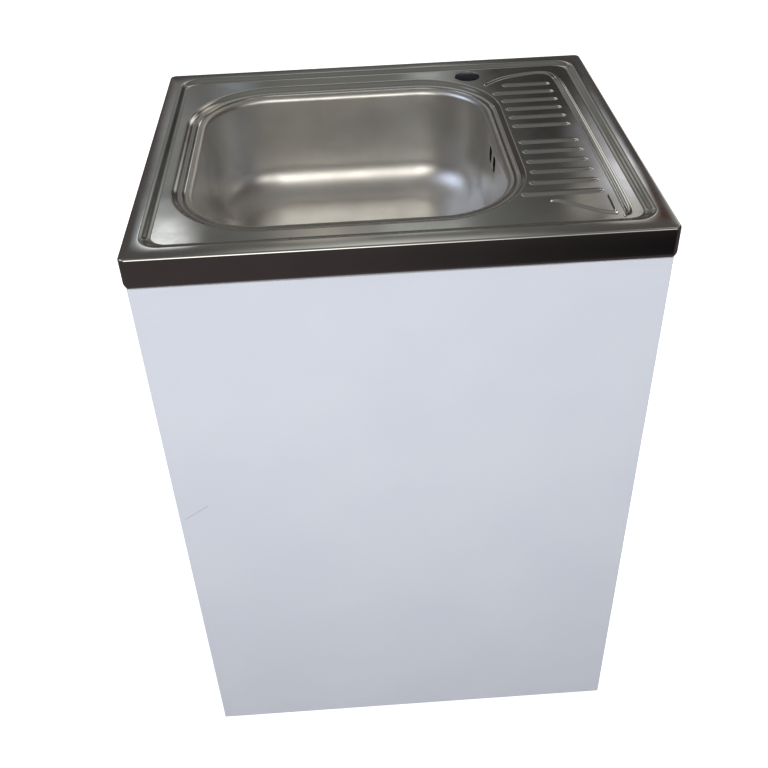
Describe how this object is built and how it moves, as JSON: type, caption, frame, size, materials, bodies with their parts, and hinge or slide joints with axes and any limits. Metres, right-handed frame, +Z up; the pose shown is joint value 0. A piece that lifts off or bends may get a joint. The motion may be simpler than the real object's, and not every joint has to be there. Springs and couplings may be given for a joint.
{
  "type": "kitchen sink unit",
  "caption": "White base cabinet with a full-height hinged door, topped by a pressed steel sink with a bowl, a ribbed drainer, a tap hole, a basket waste, an overflow and a bottle trap.",
  "frame": {"origin": "middle of the footprint on the floor, under the middle of the 600 x 520 mm sink top", "axes": "+X to the right seen from the door side, +Y to the wall behind, +Z up; the door faces -Y"},
  "size_m": [0.6, 0.52, 0.85],
  "materials": {
    "polished_steel": "bright polished stainless sheet",
    "satin_steel": "satin stainless sheet",
    "white_board": "chipboard faced with smooth white melamine",
    "hardboard": "thin fibre board, white on its inner face",
    "zinc_steel": "bright zinc plated steel",
    "white_plastic": "white moulded plastic",
    "grey_plastic": "grey moulded plastic",
    "black_rubber": "black rubber",
    "clear_pad": "soft clear pad"
  },
  "bodies": {
    "cabinet": {"sink_deck": "polished_steel", "sink_bowl": "satin_steel", "strainer_body": "satin_steel", "side_panel_left": "white_board", "side_panel_right": "white_board", "bottom_panel": "white_board", "front_rail": "white_board", "rear_rail": "white_board", "back_panel": "hardboard", "screw_front_rail_left": "zinc_steel", "screw_rear_rail_left": "zinc_steel", "screw_bottom_front_left": "zinc_steel", "screw_bottom_rear_left": "zinc_steel", "screw_front_rail_right": "zinc_steel", "screw_rear_rail_right": "zinc_steel", "screw_bottom_front_right": "zinc_steel", "screw_bottom_rear_right": "zinc_steel", "sink_clip_front_left": "zinc_steel", "sink_clip_rear_left": "zinc_steel", "sink_clip_front_right": "zinc_steel", "sink_clip_rear_right": "zinc_steel", "clip_screw_front_left": "zinc_steel", "clip_screw_rear_left": "zinc_steel", "clip_screw_front_right": "zinc_steel", "clip_screw_rear_right": "zinc_steel", "hinge_arm_upper": "zinc_steel", "hinge_plate_upper": "zinc_steel", "hinge_arm_lower": "zinc_steel", "hinge_plate_lower": "zinc_steel", "plate_screw_upper_low": "zinc_steel", "plate_screw_upper_high": "zinc_steel", "plate_screw_lower_low": "zinc_steel", "plate_screw_lower_high": "zinc_steel", "glide_front_left": "white_plastic", "glide_rear_left": "white_plastic", "glide_front_right": "white_plastic", "glide_rear_right": "white_plastic", "latch_housing": "white_plastic", "waste_locknut": "white_plastic", "tailpiece_nut": "white_plastic", "tailpiece": "white_plastic", "trap_inlet_nut": "white_plastic", "trap_body": "white_plastic", "trap_cup": "white_plastic", "trap_outlet_nut": "white_plastic", "trap_outlet_pipe": "white_plastic", "overflow_elbow": "grey_plastic", "overflow_hose": "grey_plastic", "waste_seal": "black_rubber", "overflow_seal": "black_rubber"},
    "door": {"door": "white_board", "hinge_cup_upper": "zinc_steel", "hinge_cup_lower": "zinc_steel", "hinge_pin_upper": "zinc_steel", "hinge_pin_lower": "zinc_steel", "latch_strike": "zinc_steel", "door_bumper_upper": "clear_pad", "door_bumper_lower": "clear_pad"},
    "plunger": {"latch_plunger": "white_plastic"},
    "basket": {"strainer_basket": "satin_steel"}
  },
  "joints": [
    {"name": "door_swing", "type": "hinge", "parent": "cabinet", "child": "door", "pos_m": [-0.29, -0.2435, 0.4065], "axis": [0, 0, -1], "range_deg": [0, 105]},
    {"name": "plunger_slide", "type": "slide", "parent": "cabinet", "child": "plunger", "axis": [0, -1, 0], "range_m": [0, 0.018]},
    {"name": "basket_lift", "type": "slide", "parent": "cabinet", "child": "basket", "axis": [0, 0, 1], "range_m": [0, 0.06]}
  ],
  "couplings": [
    {"joint": "plunger_slide", "follows": "door_swing", "m_per_rad": 0.0098}
  ]
}
